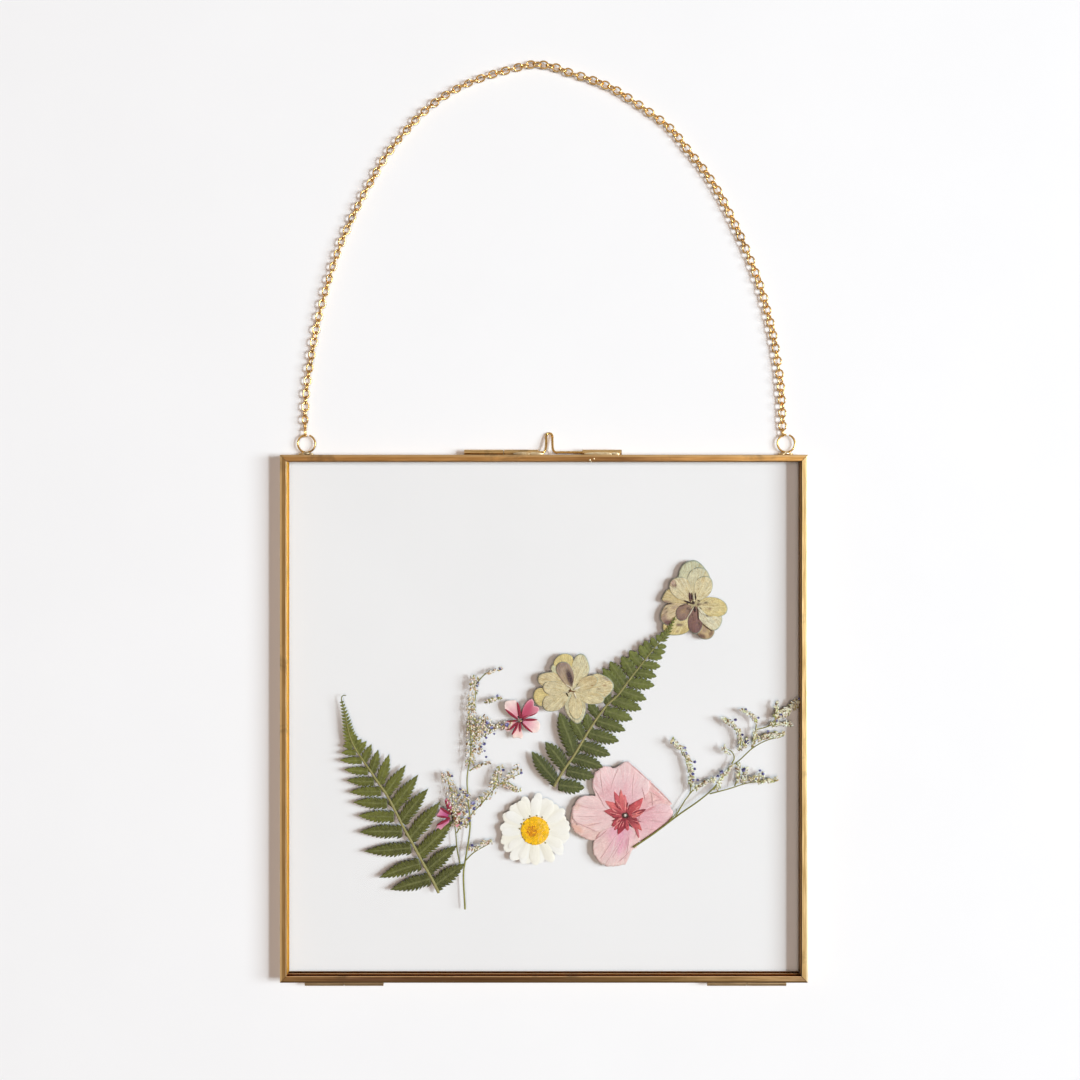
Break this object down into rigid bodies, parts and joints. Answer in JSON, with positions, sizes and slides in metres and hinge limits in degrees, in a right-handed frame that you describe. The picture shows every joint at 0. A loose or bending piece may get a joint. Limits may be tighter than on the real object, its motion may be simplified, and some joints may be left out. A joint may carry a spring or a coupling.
{
  "type": "pressed flower frame",
  "caption": "Hinged brass frame holding dried flowers and fern fronds between two glass panes, with a sliding latch wire and a hanging chain on two rings.",
  "frame": {"origin": "middle of the frame's footprint without the chain, on the surface it lies on", "axes": "+Z is the front of the frame, +Y its top edge where the chain is, +X to the right seen from the front; it lies on its back"},
  "size_m": [0.2, 0.3529, 0.007],
  "materials": {
    "brass_frame": "antiqued, brushed lengthwise",
    "brass_wire": "worn bright",
    "glass": "clear",
    "fern_green": "dried leaf",
    "petal_cream": "dried petal",
    "petal_pink": "dried petal",
    "petal_magenta": "dried petal",
    "petal_white": "dried petal",
    "stem_straw": "dried stem and buds"
  },
  "bodies": {
    "back": {"back_bar_bottom": "brass_frame", "back_bar_right": "brass_frame", "back_bar_top": "brass_frame", "back_bar_left": "brass_frame", "back_pane": "glass", "hinge_left_back_knuckle": "brass_frame", "hinge_left_pin": "brass_wire", "hinge_right_back_knuckle": "brass_frame", "hinge_right_pin": "brass_wire", "latch_keeper": "brass_frame", "ring_left": "brass_wire", "ring_right": "brass_wire", "chain": "brass_wire", "fern_left": "fern_green", "fern_right": "fern_green", "hydrangea_top": "petal_cream", "hydrangea_middle": "petal_cream", "verbena_pink": "petal_pink", "verbena_magenta": "petal_magenta", "statice_left": "stem_straw", "statice_right": "stem_straw", "daisy": "petal_white", "pink_blossom": "petal_pink"},
    "front": {"front_bar_bottom": "brass_frame", "front_bar_right": "brass_frame", "front_bar_top": "brass_frame", "front_bar_left": "brass_frame", "front_pane": "glass", "hinge_left_front_knuckle": "brass_frame", "hinge_right_front_knuckle": "brass_frame", "latch_guide_left": "brass_frame", "latch_guide_right": "brass_frame"},
    "latch": {"latch_pin": "brass_wire"}
  },
  "joints": [
    {"name": "front_hinge", "type": "hinge", "parent": "back", "child": "front", "pos_m": [0, -0.10455, 0.0035], "axis": [1, 0, 0], "range_deg": [0, 180]},
    {"name": "latch_slide", "type": "slide", "parent": "front", "child": "latch", "axis": [1, 0, 0], "range_m": [-0.0018, 0.0095]}
  ]
}
